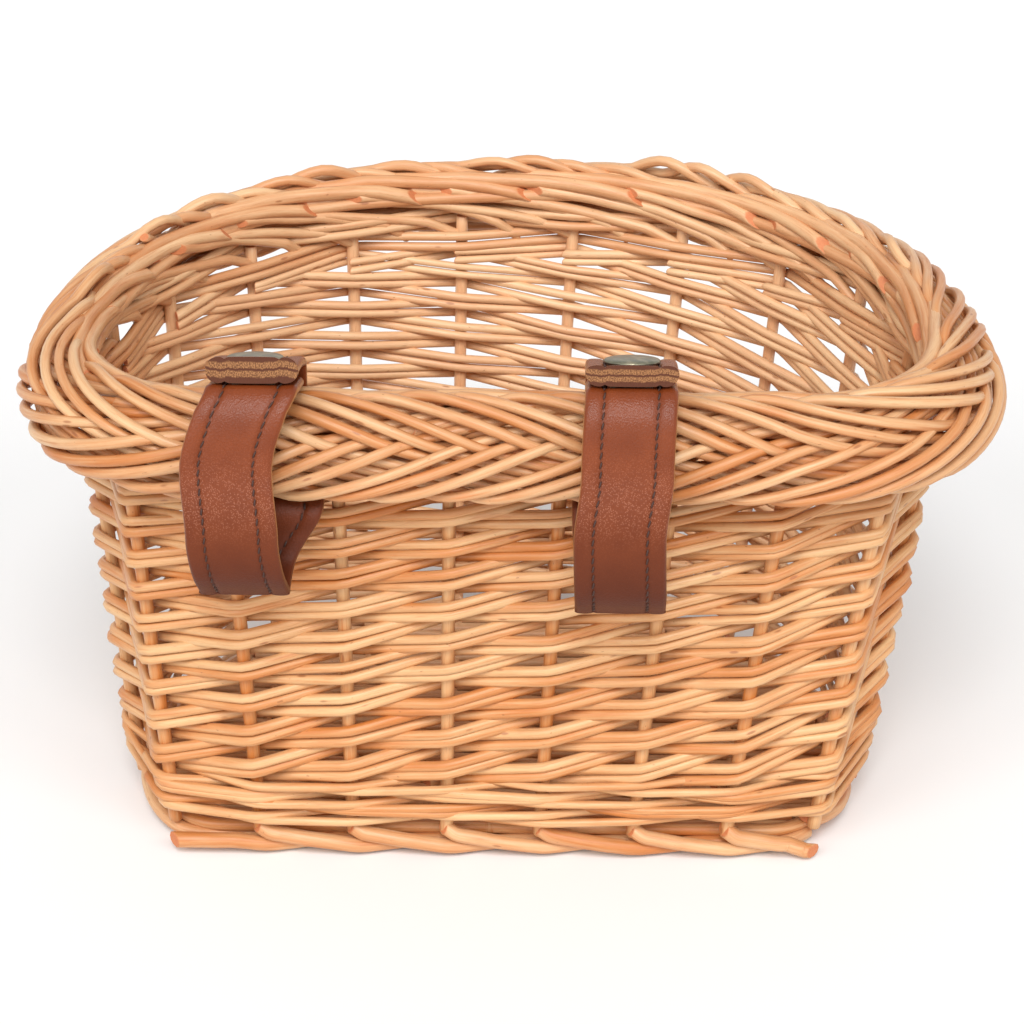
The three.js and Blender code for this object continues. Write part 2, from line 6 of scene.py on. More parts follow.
import bpy
import numpy as np
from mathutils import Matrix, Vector


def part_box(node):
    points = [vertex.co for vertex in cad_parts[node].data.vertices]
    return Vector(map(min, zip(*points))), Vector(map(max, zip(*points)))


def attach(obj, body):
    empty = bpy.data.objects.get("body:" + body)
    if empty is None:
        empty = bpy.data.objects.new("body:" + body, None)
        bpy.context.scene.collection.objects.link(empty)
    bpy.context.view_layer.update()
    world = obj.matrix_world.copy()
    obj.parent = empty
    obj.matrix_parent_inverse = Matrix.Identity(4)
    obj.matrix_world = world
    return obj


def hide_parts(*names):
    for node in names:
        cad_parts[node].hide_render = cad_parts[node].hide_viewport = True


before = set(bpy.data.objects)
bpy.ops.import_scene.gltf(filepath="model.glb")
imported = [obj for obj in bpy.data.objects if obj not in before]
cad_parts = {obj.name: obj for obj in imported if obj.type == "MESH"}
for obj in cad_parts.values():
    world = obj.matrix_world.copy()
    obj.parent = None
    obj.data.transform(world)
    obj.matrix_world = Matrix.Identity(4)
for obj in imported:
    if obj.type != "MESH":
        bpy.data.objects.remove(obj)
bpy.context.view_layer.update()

MM = 0.001
UP = np.array([0, 0, 1.0])

# The plan of the stakes, seen from above
FOOT_BACK = 56.8  # from the plan's middle back to the foot's outer face
ORIGIN_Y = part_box("foot_border")[0].y / MM + FOOT_BACK  # the plan's middle in the part
TOP_BACK = 65.0  # from the plan's middle back to the flat side's stakes, at the wall top
BASE_BACK = 52.0  # and at the base
CORNER_DEPTH = 40.0  # of the plan's corners, from the back towards the bow
BOW_FULLNESS = 2.25  # power of the bow's outline: 2 is an ellipse

# The wall
STAKES = 20
BACK_STAKES = 8  # of them along the flat side
STAKE_PITCH = 30.2  # along the flat side, at the wall top
WALL_TOP = 140.4
WALL_REACH = 5.32  # from the stakes' middle out to the face of the weave
STROKES = 18  # stakes that the shortest siding pairs climb past
BUTT, TIP = 3.15, 2.75  # thickness of a siding rod at its two ends
PAIR_HEIGHT = 5.1, 4.1  # of a siding pair at its two ends
PAIR_GAP = 0.7  # between a pair and the one below it
SIDING_FOOT = 22.7  # height at which the siding starts
STRAP_STAKES = 1, 4  # the straps pass between these stakes and the next
TOP_WALE_FOOT = 127.5  # height of the lower row's lower edge
TOP_WALE_HALF = 3.15  # half the height of a row
TOP_WALE_STEP = 6.6  # from one row to the next

# The border lies on an arc over the wall top, and the foot under the wall
PLAIT_CENTRE = 136.8  # height of the arc's centre
PLAIT_RADIUS = 11.7
PLAIT_LEAN = np.radians(27.0)  # of the plait's middle line, up from level
BORDER_REACH = 18.624  # from the stakes' middle out to the border's face
FOOT_ENDS = -96.0, 87.5  # x of the cut ends at the flat side's corners
FOOT_TUCK = 3.4  # how much further in the foot's rods lie round the bow
STICK_PITCH = 28.0  # of the sticks in the floor

# Cut rods
BEVEL = 0.3  # length of the narrowed edge at a cut end
BEVEL_SHARE = 0.86  # its radius beside the rod's
CUT_FADE = 2.2  # a slanted cut leans the rod behind it over this many radii times its slope

# The straps, in a side view: n is out of the wall from the flat side's stakes, z is height
STRAP_X = {"left": -60.091, "right": 29.317}  # the middle of each strap at its slot
SLOT_Z = 125.25  # where the straps go through the wall
STRAP_DROP = {"left": 20.0, "right": 24.5}  # from the slot down to the fold
STRAP_LEAN = {  # towards +X from the slot: at the fold, the bulge, the border and the press stud
    "left": (-8.4, -10.2, -11.6, -5.0),
    "right": (1.0, 0.5, 2.3, 3.2),
}
STRAP_WIDTH = 24.0
STRAP_HALF = 1.25  # half a strap's thickness
GROOVE = 7.0  # from a strap's middle line to its sewn grooves
FOLD_N = 23.0
TILT = np.radians(17.0)  # of the strap ends, rising outwards
SNAP_N, SNAP_Z = 7.5, 157.567  # the press stud on the front run
HINGE_N, HINGE_DROP = -8.6, 4.0  # the tab's hinge, and how far it lies below the press stud
KNUCKLE = 1.2  # radius of the back run's rounded ends, round its two hinges
TAB_LIFT = 5.3  # from the front run's middle up to the tab's
TAB_END = 10.0  # from the press stud out to the tab's cut end
TAB_HEM = 3.2  # length of the hem folded under that end
TAB_HEM_DEPTH = 2.1
TAB_LIP = {"left": 2.2, "right": 0.8}  # how high the tab's end stands up before its cap

chance = np.random.default_rng(41)


def lengths(points):
    """How far each point lies along a line from its first one: the sum of the steps before it."""
    return np.concatenate([[0], np.cumsum(np.linalg.norm(np.diff(points, axis=0), axis=1))])


def plan(middle, half_width, back, front, corner):
    """The stake line seen from above: a straight back, two quarter ellipses and the bow.

    The bow is |x / half width|^p + |y / depth|^p = 1. Returns the plan's points and, for each, its
    share of the whole length from the middle of the back.
    """
    quarter = np.linspace(0, np.pi / 2, 90)
    turn = np.linspace(0, np.pi, 600)
    straight = np.linspace(0, half_width - corner, 90)
    centre = CORNER_DEPTH - back
    across = np.sign(np.cos(turn)) * np.abs(np.cos(turn)) ** (2 / BOW_FULLNESS)
    ahead = np.abs(np.sin(turn)) ** (2 / BOW_FULLNESS)
    x = [straight, half_width - corner + corner * np.sin(quarter), half_width * across]
    y = [0 * straight - back, centre - CORNER_DEPTH * np.cos(quarter), centre + (front - centre) * ahead]
    x += [corner - half_width - corner * np.cos(quarter), straight - half_width + corner]
    y += [centre - CORNER_DEPTH * np.sin(quarter), 0 * straight - back]
    points = np.stack([middle + np.concatenate(x), np.concatenate(y)], -1)
    length = lengths(points)
    return points, length / length[-1]


TOP_PLAN = plan(middle=0.0, half_width=118.0, back=TOP_BACK, front=94.0, corner=42.0)
BASE_PLAN = plan(middle=-4.5, half_width=104.5, back=BASE_BACK, front=82.0, corner=26.0)
TOP_LENGTH = np.linalg.norm(np.diff(TOP_PLAN[0], axis=0), axis=1).sum()


def on_plan(of_plan, u):
    """The point at share u round a plan."""
    points, share = of_plan
    turn = np.mod(u, 1.0)
    return np.stack([np.interp(turn, share, points[:, 0]), np.interp(turn, share, points[:, 1])], -1)


def outward(u):
    """Level unit vector out of the wall: the top plan's direction turned a quarter to the right."""
    step = on_plan(TOP_PLAN, u + 2e-4) - on_plan(TOP_PLAN, u - 2e-4)
    step = step / np.linalg.norm(step, axis=-1, keepdims=True)
    return np.stack([step[..., 1], -step[..., 0], 0 * step[..., 0]], -1)


def wall(u, z, n):
    """A place on the wall: base and top plan mixed by height, then n outwards."""
    share = (z / WALL_TOP)[..., None]
    flat = on_plan(BASE_PLAN, u) * (1 - share) + on_plan(TOP_PLAN, u) * share
    point = np.concatenate([flat, z[..., None]], -1) + n[..., None] * outward(u)
    return point + np.array([0, ORIGIN_Y, 0])


PITCH_SHARE = STAKE_PITCH / TOP_LENGTH
BACK_SHARE = (BACK_STAKES - 1) * PITCH_SHARE
BOW_SHARE = (1 - BACK_SHARE) / (STAKES - BACK_STAKES + 1)
STAKE_NUMBERS = np.arange(-STAKES, 6 * STAKES + 1)


def stake_shares():
    """Shares round the plan of all stakes: an even pitch along the back, another round the bow."""
    turns = np.floor_divide(STAKE_NUMBERS, STAKES)
    of_turn = STAKE_NUMBERS - turns * STAKES
    on_bow = BACK_SHARE + (of_turn - BACK_STAKES + 1) * BOW_SHARE
    return turns + np.where(of_turn < BACK_STAKES, of_turn * PITCH_SHARE, on_bow) - BACK_SHARE / 2


STAKE_SHARES = stake_shares()


def stake_place(i):
    """Share round the plan of stake i, and straight between stakes for a broken i."""
    return np.interp(i, STAKE_NUMBERS, STAKE_SHARES)


def pair_rise():
    """Heights of a siding pair at its strokes: each pair lies on the one before it."""
    height = np.append(np.linspace(*PAIR_HEIGHT, STROKES + 1), PAIR_HEIGHT[1])
    step = (height[1:] + height[:-1]) / 2 + PAIR_GAP
    return SIDING_FOOT + PAIR_HEIGHT[0] / 2 + np.concatenate([[0], np.cumsum(step)])


STROKE_Z = pair_rise()


def waver(t, size, slowest):
    """A hand-made wander: four sine waves of random phase, each faster and smaller than the last."""
    faster, smaller, whole = 1.7, 1.4, 1.8
    total = np.zeros_like(t)
    for k in range(4):
        total += np.sin(slowest * (faster**k) * t + chance.uniform(0, 2 * np.pi)) / (smaller**k)
    return size * total / whole


def uneven():
    """A random share of a thin rod's thickness: no two rods are alike."""
    return chance.uniform(0.9, 1.06)


def rounded(knots, places, at, ease):
    """Straight runs between knots, with the bends eased by a running mean of that width."""
    fine = np.linspace(at[0] - 1, at[-1] + 1, 12 * len(at))
    run = np.stack([np.interp(fine, places, knots[:, c]) for c in range(knots.shape[1])], -1)
    width = max(3, int(ease / (fine[1] - fine[0])) | 1)
    window = np.hanning(width + 2)[1:-1]
    window = window / window.sum()
    pad = width // 2
    padded = np.concatenate([np.repeat(run[:1], pad, 0), run, np.repeat(run[-1:], pad, 0)])
    soft = np.stack([np.convolve(padded[:, c], window, "valid") for c in range(run.shape[1])], -1)
    return np.stack([np.interp(at, fine, soft[:, c]) for c in range(run.shape[1])], -1)


def make_piece(name, points, quads, caps, fields, material, body, nodes, smooth_caps=False):
    """A mesh from whole arrays: four-sided faces, end faces, and named values at its points."""
    mesh = bpy.data.meshes.new(name)
    caps = [np.asarray(cap) for cap in caps]
    loops = np.concatenate([quads.ravel()] + caps).astype(np.int32)
    sizes = np.concatenate([np.full(len(quads), 4), np.array([len(cap) for cap in caps], int)])
    starts = np.concatenate([[0], np.cumsum(sizes)[:-1]]).astype(np.int32)
    mesh.vertices.add(len(points))
    mesh.vertices.foreach_set("co", (points * MM).astype(np.float32).ravel())
    mesh.loops.add(len(loops))
    mesh.loops.foreach_set("vertex_index", loops)
    mesh.polygons.add(len(sizes))
    mesh.polygons.foreach_set("loop_start", starts)
    smooth = np.ones(len(sizes), bool)
    smooth[len(quads) :] = smooth_caps
    mesh.polygons.foreach_set("use_smooth", smooth)
    mesh.update(calc_edges=True)
    for field, values in fields.items():
        kind, key = ("FLOAT_VECTOR", "vector") if values.ndim == 2 else ("FLOAT", "value")
        store = mesh.attributes.new(field, kind, "POINT")
        store.data.foreach_set(key, values.astype(np.float32).ravel())
    piece = bpy.data.objects.new(name, mesh)
    bpy.context.scene.collection.objects.link(piece)
    mesh.materials.append(material)
    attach(piece, body)
    if nodes:
        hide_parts(*nodes)


def bevelled(path, out, radius):
    """The same rod with one more ring close to each end, and with its end rings narrower."""
    starts, ends = path[1] - path[0], path[-2] - path[-1]
    near = path[0] + starts * min(BEVEL / np.linalg.norm(starts), 0.5)
    far = path[-1] + ends * min(BEVEL / np.linalg.norm(ends), 0.5)
    path = np.concatenate([path[:1], near[None], path[1:-1], far[None], path[-1:]])
    out = np.concatenate([out[:1], out[:1], out[1:-1], out[-1:], out[-1:]])
    first, last = radius[:1], radius[-1:]
    radius = np.concatenate([first * BEVEL_SHARE, first, radius[1:-1], last, last * BEVEL_SHARE])
    return path, out, radius


class Bundle:
    """Round rods gathered into one mesh, each with its own grain, tone and cut ends."""

    def __init__(self, sides):
        self.sides = sides
        self.points, self.quads, self.caps = [], [], []
        self.grain, self.tone, self.cut = [], [], []
        self.count = 0

    def rod(self, path, radius, out, closed=False, slant=(0.0, 0.0), tone=None):
        """A ring of points carried along the path: radius times (cos out + sin side) at each point.

        slant leans an end face along the rod, and the rings behind it by less and less.
        """
        sides = self.sides
        radius = np.broadcast_to(radius, len(path))
        if closed:
            ahead = np.roll(path, -1, 0) - np.roll(path, 1, 0)
        else:
            path, out, radius = bevelled(path, out, radius)
            ahead = np.gradient(path, axis=0)
        ahead = ahead / np.linalg.norm(ahead, axis=1, keepdims=True)
        side = np.cross(ahead, out)
        side = side / np.linalg.norm(side, axis=1, keepdims=True)
        up = np.cross(side, ahead)
        turn = 2 * np.pi * np.arange(sides) / sides
        cosine, sine = np.cos(turn)[None, :, None], np.sin(turn)[None, :, None]
        ring = path[:, None] + radius[:, None, None] * (cosine * up[:, None] + sine * side[:, None])
        n = len(path)
        cut = np.zeros((n, sides))
        length = lengths(path)
        if not closed:
            lean = cosine * ahead[:, None] * radius[:, None, None]
            for slope, from_end in zip(slant, (length, length[-1] - length)):
                fade = np.clip(1 - from_end / (CUT_FADE * radius.max() * max(abs(slope), 0.1)), 0, 1)
                ring += slope * fade[:, None, None] * lean
            cut[[0, -1]] = 1.0
        shift = chance.uniform(-400, 400, 3)  # so that no two rods share a pattern
        grain = np.stack(
            [
                np.broadcast_to(radius[:, None] * np.cos(turn), (n, sides)) + shift[0],
                np.broadcast_to(radius[:, None] * np.sin(turn), (n, sides)) + shift[1],
                np.broadcast_to(length[:, None], (n, sides)) + shift[2],
            ],
            -1,
        )
        i, j = np.meshgrid(np.arange(n if closed else n - 1), np.arange(sides), indexing="ij")
        next_i, next_j = (i + 1) % n, (j + 1) % sides
        index = np.stack([i * sides + j, i * sides + next_j, next_i * sides + next_j, next_i * sides + j], -1)
        self.quads.append(index.reshape(-1, 4) + self.count)
        if not closed:
            self.caps.append(self.count + np.arange(sides)[::-1])
            self.caps.append(self.count + (n - 1) * sides + np.arange(sides))
        self.points.append(ring.reshape(-1, 3))
        self.grain.append(grain.reshape(-1, 3))
        self.tone.append(np.full(n * sides, chance.uniform(-1, 1) if tone is None else tone))
        self.cut.append(cut.ravel())
        self.count += n * sides

    def piece(self, name, material, nodes):
        """All the rods so far as one piece of the basket, in place of those nodes."""
        fields = {
            "grain": np.concatenate(self.grain),
            "tone": np.concatenate(self.tone),
            "cut": np.concatenate(self.cut),
        }
        points, quads = np.concatenate(self.points), np.concatenate(self.quads)
        make_piece(name, points, quads, self.caps, fields, material, "basket", nodes)


class Wire:
    """A value in a material's nodes: arithmetic on it adds Math nodes."""

    def __init__(self, paint, socket):
        self.paint, self.socket = paint, socket

    def maths(self, operation, *values):
        return self.paint.node("Math", {"operation": operation}, dict(enumerate(values)))

    def size(self):
        return self.maths("ABSOLUTE", self)

    def __add__(self, other):
        return self.maths("ADD", self, other)

    def __radd__(self, other):
        return self.maths("ADD", other, self)

    def __sub__(self, other):
        return self.maths("SUBTRACT", self, other)

    def __rsub__(self, other):
        return self.maths("SUBTRACT", other, self)

    def __mul__(self, other):
        return self.maths("MULTIPLY", self, other)

    def __rmul__(self, other):
        return self.maths("MULTIPLY", other, self)


class Paint:
    """One material: node() adds any node, and surface() joins values to its shader."""

    def __init__(self, name):
        self.material = bpy.data.materials.new(name)
        self.material.use_nodes = True
        self.tree = self.material.node_tree
        self.shader = self.tree.nodes["Principled BSDF"]

    def node(self, kind, settings=None, sockets=None, output=0):
        """Any node: its settings first, then the values or links of its sockets."""
        made = self.tree.nodes.new("ShaderNode" + kind)
        for key, value in (settings or {}).items():
            setattr(made, key, value)
        for key, value in (sockets or {}).items():
            self.join(value, made.inputs[key])
        return Wire(self, made.outputs[output])

    def join(self, value, socket):
        if isinstance(value, Wire):
            self.tree.links.new(value.socket, socket)
        else:
            socket.default_value = value

    def field(self, name, output="Fac"):
        return self.node("Attribute", {"attribute_name": name}, output=output)

    def place(self):
        """The piece's own coordinates, in metres."""
        return self.node("TexCoord", output="Object")

    def axis(self, place, letter):
        return self.node("SeparateXYZ", None, {"Vector": place}, letter)

    def scaled(self, place, x, y, z):
        return self.node("VectorMath", {"operation": "MULTIPLY"}, {0: place, 1: (x, y, z)})

    def noise(self, place, scale, detail, roughness=0.5):
        values = {"Vector": place, "Scale": scale, "Detail": detail, "Roughness": roughness}
        return self.node("TexNoise", None, values)

    def band(self, value, low, high):
        """0 below low and 1 above high, eased between them."""
        kind = {"interpolation_type": "SMOOTHSTEP"}
        return self.node("MapRange", kind, {"Value": value, "From Min": low, "From Max": high})

    def blend(self, share, first, second):
        """Two colours mixed, through the colour sockets of a Mix node."""
        settings = {"data_type": "RGBA", "blend_type": "MIX"}
        return self.node("Mix", settings, {0: share, 6: first, 7: second}, output=2)

    def bump(self, height, strength, distance):
        return self.node("Bump", None, {"Height": height, "Strength": strength, "Distance": distance})

    def surface(self, **values):
        for key, value in values.items():
            self.join(value, self.shader.inputs[key.replace("_", " ")])
        return self.material


def rgb(red, green, blue):
    """A colour written in screen values from 0 to 255, made linear."""
    value = np.array([red, green, blue]) / 255.0
    line = np.where(value < 0.04045, value / 12.92, ((value + 0.055) / 1.055) ** 2.4)
    return (*[float(v) for v in line], 1.0)


def willow(name, light, deep, shine, bow_painted_light):
    """Peeled willow: honey streaks along the rod, specks and bud scars, and reddish cut ends.

    Round the bow a painted light makes it paler than along the flat side.
    """
    paint = Paint(name)
    grain = paint.field("grain", "Vector")
    tone = paint.field("tone")
    cut = paint.field("cut")
    slow = paint.noise(paint.scaled(grain, 0.16, 0.16, 0.018), 1.0, 3.0, 0.6)
    streak = paint.noise(paint.scaled(grain, 1.3, 1.3, 0.05), 1.0, 4.0, 0.6)
    fibre = paint.noise(paint.scaled(grain, 5.0, 5.0, 0.22), 1.0, 2.0)
    share = paint.band(slow * 0.9 + streak * 0.55 + tone * 0.12, 0.42, 1.05)
    colour = paint.blend(share, light, deep)
    blush = paint.band(paint.noise(paint.scaled(grain, 0.3, 0.3, 0.055), 1.0, 2.0), 0.58, 0.74)
    colour = paint.blend(blush * 0.35, colour, rgb(206, 124, 72))
    line = paint.band(streak, 0.6, 0.74)
    colour = paint.blend(line * 0.5, colour, rgb(178, 106, 56))
    # painted light: round the bow the rods are mixed towards a pale cream, brighter than along the flat side
    bow = paint.band(paint.axis(paint.place(), "Y"), -0.03, 0.05)
    colour = paint.blend(bow * bow_painted_light, colour, rgb(246, 208, 166))
    colour = paint.blend(paint.band(fibre, 0.54, 0.72) * 0.32, colour, rgb(172, 98, 48))
    pits = paint.noise(paint.scaled(grain, 1.1, 1.1, 0.55), 1.0, 1.0)
    speck = paint.band(pits, 0.74, 0.8)
    colour = paint.blend(speck * 0.5, colour, rgb(140, 82, 44))
    spots = paint.node("TexVoronoi", None, {"Vector": paint.scaled(grain, 0.2, 0.2, 0.06), "Scale": 1.0})
    scar = 1.0 - paint.band(spots, 0.05, 0.11)
    colour = paint.blend(scar * 0.65, colour, rgb(150, 84, 46))
    ends = paint.noise(paint.scaled(grain, 2.2, 2.2, 2.2), 1.0, 2.0)
    cut_colour = paint.blend(ends, rgb(190, 92, 50), rgb(218, 140, 88))
    colour = paint.blend(cut * 0.85, colour, cut_colour)
    ridge = fibre * 0.6 + streak * 0.7 - scar * 0.35 - speck * 0.5
    bump = paint.bump(ridge, 0.28, 0.00025)
    rough = 0.40 + streak * 0.22 + cut * 0.25 - shine
    return paint.surface(Base_Color=colour, Roughness=rough, Normal=bump)


def leather(name):
    """Coated strap leather: fine pebbles, worn lighter at the rolled edges, layered where it is cut.

    Painted shade darkens it towards the fold, and a painted highlight lightens the pebbles of the bulge above
    it.
    """
    paint = Paint(name)
    run = paint.field("run", "Vector")
    cut = paint.field("cut")
    mottle = paint.noise(paint.scaled(run, 0.09, 0.09, 0.09), 1.0, 3.0)
    pebble = paint.node("TexVoronoi", {"feature": "F1"}, {"Vector": run, "Scale": 2.3, "Randomness": 1.0})
    crease = paint.noise(run, 2.6, 3.0, 0.6)
    colour = paint.blend(paint.band(mottle, 0.3, 0.7), rgb(130, 62, 30), rgb(117, 53, 24))
    colour = paint.blend(paint.band(pebble, 0.28, 0.5) * 0.25, colour, rgb(98, 42, 16))
    across = paint.axis(run, "X").size()
    worn = paint.band(across, 11.0, 12.3)
    colour = paint.blend(worn * 0.35, colour, rgb(158, 92, 60))
    colour = paint.blend(paint.band(across, 11.7, 11.95) * 0.6, colour, rgb(186, 134, 84))
    height = paint.axis(paint.place(), "Z")
    # painted shade: darker towards the fold, low on the loop
    low = 1.0 - paint.band(height, 0.106, 0.142)
    colour = paint.blend(low * 0.75, colour, rgb(74, 30, 12))
    # painted highlight: the pebble tops in a band at the bulge are lightened
    bulge = paint.band(height, 0.122, 0.134) - paint.band(height, 0.136, 0.15)
    painted_bulge_highlight = bulge * (1.0 - paint.band(pebble, 0.2, 0.45))
    colour = paint.blend(painted_bulge_highlight * 0.32, colour, rgb(190, 132, 106))
    # painted shade: the sewn grooves are darkened
    groove = paint.band(across, GROOVE - 0.6, GROOVE) - paint.band(across, GROOVE, GROOVE + 0.6)
    colour = paint.blend(groove * 0.4, colour, rgb(70, 34, 20))
    sway = paint.noise(paint.scaled(run, 0.2, 0.0, 0.0), 1.0, 3.0) - 0.5
    fray = paint.noise(paint.scaled(run, 3.2, 0.0, 7.0), 1.0, 2.0)
    from_middle = (paint.axis(run, "Z") + sway * 0.9 + fray * 0.12).size()
    lined = paint.band(from_middle, 0.05, 0.14) - paint.band(from_middle, 0.5, 0.64)
    layer = paint.blend(lined, rgb(86, 44, 28), rgb(158, 110, 70))
    layer = paint.blend(paint.band(fray, 0.4, 0.6) * 0.8, layer, rgb(84, 46, 26))
    colour = paint.blend(cut, colour, layer)
    bump = paint.bump(pebble * -0.8 + crease * 0.4, 0.4, 0.0002)
    rough = 0.22 + crease * 0.14 + cut * 0.3 + low * 0.25
    return paint.surface(Base_Color=colour, Roughness=rough, Normal=bump, Specular_IOR_Level=0.22)


def thread_finish():
    """Dark twisted sewing thread."""
    paint = Paint("sewing thread")
    twist = paint.noise(paint.scaled(paint.place(), 1500, 1500, 1500), 1.0, 2.0)
    colour = paint.blend(twist, rgb(44, 24, 18), rgb(78, 44, 32))
    bump = paint.bump(twist, 0.4, 0.0001)
    return paint.surface(Base_Color=colour, Roughness=0.55 + twist * 0.2, Normal=bump)


def snap_finish():
    """Dark plated brass of the press studs, rubbed a little at random."""
    paint = Paint("press stud metal")
    rub = paint.noise(paint.scaled(paint.place(), 420, 420, 420), 1.0, 4.0)
    colour = paint.blend(paint.band(rub, 0.4, 0.7), rgb(112, 110, 94), rgb(150, 142, 120))
    bump = paint.bump(rub, 0.08, 0.0002)
    return paint.surface(Base_Color=colour, Roughness=0.3 + rub * 0.15, Metallic=0.9, Normal=bump)


SIDING = willow("siding willow", rgb(222, 178, 128), rgb(194, 116, 52), shine=0.09, bow_painted_light=0.5)
THICK = willow("border willow", rgb(222, 180, 134), rgb(192, 118, 60), shine=0.1, bow_painted_light=0.2)
LEATHER = leather("strap leather")
THREAD = thread_finish()
SNAP = snap_finish()


def siding():
    """Twenty pairs of thin rods, each inside one stake and outside the next, climbing to the right.

    A pair starts at each stake. Its tips end under the top wale, one stake earlier beside a strap
    and one stake later round the bow.
    """
    made = Bundle(8)
    reach = 3.6  # from a stake's middle to the rods that pass it
    before, after = 0.22, 0.05  # how far a rod runs on past its first and last stake
    for first in range(STAKES):
        last = STROKES if (first + STROKES) % STAKES in STRAP_STAKES else STROKES + 1
        if BACK_STAKES <= (first + STROKES + 1) % STAKES < STAKES - 1:
            last = STROKES + 2
        stroke = np.arange(-1, last + 2)
        side = np.where(stroke % 2 == 0, -1.0, 1.0)
        u = stake_place(first + stroke)
        z = np.interp(stroke, np.arange(STROKES + 2), STROKE_Z)
        t = np.linspace(-before, last + after, last * 10 + 1)
        share = np.clip(t / STROKES, 0, 1)
        out = outward(stake_place(first + t))
        for upper in (-1, 1):
            half = (BUTT + (TIP - BUTT) * share) / 2 * uneven()
            half = half * (1 + 0.05 * waver(t, 1.0, 0.9))
            offset = side * chance.normal(reach, 0.12, len(stroke))
            lift = z + chance.normal(0, 0.3, len(stroke))
            path = rounded(wall(u, lift, offset), stroke, t, 0.24)
            path[:, 2] += upper * (half + waver(t, 0.14, 0.7))
            path += out * (upper * waver(t, 0.3, 0.5) + waver(t, 0.2, 0.8))[:, None]
            made.rod(path, half, out, slant=(0.6, -0.8))
    made.piece("siding_rods", SIDING, [f"siding_pair_{i + 1:02d}" for i in range(STAKES)])


def stakes():
    """Upright rods from the foot to the border, a little bowed and thinner towards the top."""
    made = Bundle(10)
    for i in range(STAKES):
        z = np.linspace(6.5, WALL_TOP - 3, 40)
        u = np.full(40, stake_place(i))
        path = wall(u, z, waver(z, 0.25, 0.05))
        made.rod(path, 1.98 - 0.12 * z / WALL_TOP, outward(u))
    made.piece("stake_rods", SIDING, [f"stake_{i + 1:02d}" for i in range(STAKES)])


def bottom_wale():
    """Thin rods in front of two stakes and behind one: three weavers, a stake apart, climbing together."""
    made = Bundle(8)
    weavers = 3
    last = int(2.9 * STAKES)  # the stake at which the weavers end
    reach = 3.9  # from a stake's middle to the rods that pass it
    lowest, apart, climb, bob = 11.6, 1.7, 4.6, 0.6  # heights: start, next weaver, next round, in front
    k = np.arange(-1, last + 3)
    for weaver in range(weavers):
        side = np.where((k + weaver) % weavers == 0, -1.0, 1.0)
        z = lowest + apart * weaver + k / STAKES * climb + bob * side
        knots = wall(stake_place(k), z + chance.normal(0, 0.55, len(k)), side * reach)
        for start in range(0, last, 10):
            t = np.linspace(start - 0.4, min(start + 11.2, last + 0.3), 110)
            path = rounded(knots, k, t, 0.4)
            path[:, 2] += waver(t, 0.25, 0.6)
            radius = np.interp(t, [t[0], t[-1]], [1.5, 1.1]) * uneven()
            out = outward(stake_place(t))
            path += out * waver(t, 0.25, 0.7)[:, None]
            made.rod(path, radius, out, slant=(0.8, -0.9))
    made.piece("bottom_wale_rods", SIDING, ["bottom_wale"])


def top_wale(name, row):
    """A row of two thicker rods round the basket, inside one stake and outside the next.

    Each goes round in two lengths that overlap.
    """
    made = Bundle(8)
    reach = 3.75  # from a stake's middle to the rods that pass it
    k = np.arange(-2, STAKES + 3)
    side = np.where((k + row) % 2 == 0, -1.0, 1.0)
    z = np.full(len(k), TOP_WALE_FOOT + TOP_WALE_HALF + row * TOP_WALE_STEP)
    for upper in (-1, 1):
        knots = wall(stake_place(k), z + upper * 1.55, side * reach)
        for start in (0.0, 10.0):
            t = np.linspace(start - 0.3, start + 10.3, 110)
            path = rounded(knots, k, t, 0.4)
            path[:, 2] += waver(t, 0.25, 0.6)
            out = outward(stake_place(t))
            made.rod(path, 1.5 + waver(t, 0.05, 0.8), out, slant=(0.8, -0.8))
    made.piece(name + "_rods", THICK, [name])


def over_rim(u, arc, radius):
    """A place on the border, by its way along the arc over the wall top and out from that arc's centre.

    Returns the points and the directions out of the border there.
    """
    angle = (PLAIT_LEAN + arc / PLAIT_RADIUS)[:, None]
    ray = outward(u)
    direction = ray * np.cos(angle) + UP * np.sin(angle)
    rim = on_plan(TOP_PLAN, u) + np.array([0, ORIGIN_Y])
    heart = np.concatenate([rim, np.full((len(u), 1), PLAIT_CENTRE)], -1) + ray
    return heart + radius[:, None] * direction, direction


def plait_strands(made):
    """The plait: three rods to a strand, five strands wide, each rod cut into shorter runs.

    A strand zigzags along the arc over the rim, 17 times in five rounds: arc = swing times the
    arcsine of a blunted sine. It leaves each edge over the others and dives under them at the
    middle. Round the bow its turns at the top edge stand up as knuckles.
    """
    rounds, zigzags = 5, 17
    swing, blunt, dive = 13.4, 0.985, 2.6
    for lane in (-1, 0, 1):
        start = 0.62 + 0.5 * lane
        finish = start + zigzags
        while start < finish - 0.1:
            run = min(chance.choice([1.0, 1.5]), finish - start)
            t = np.linspace(start - 0.05, start + run + 0.05, int(70 * run))
            start += run
            phase = 2 * np.pi * (t + lane * 0.058)
            zigzag = np.arcsin(blunt * np.sin(phase)) / np.arcsin(blunt)
            over = -np.tanh(dive * np.sin(2 * phase)) / np.tanh(dive)
            arc = swing * zigzag + waver(t, 0.3, 6.0)
            radius = PLAIT_RADIUS + 1.6 + 2.2 * over + waver(t, 0.25, 8.0)
            u = t * rounds / zigzags
            bow = np.clip((0.3 - np.abs(np.mod(u, 1) - 0.5)) / 0.06, 0, 1)
            radius += (1.0 + 6.5 * chance.uniform() ** 2) * bow * np.clip(4 * zigzag - 3, 0, 1)
            path, direction = over_rim(u, arc, radius)
            thick = chance.uniform(1.42, 1.66) * np.interp(t, [t[0], t[-1]], [1.05, 0.94])
            made.rod(path, thick, direction, slant=(0.9, -0.9))


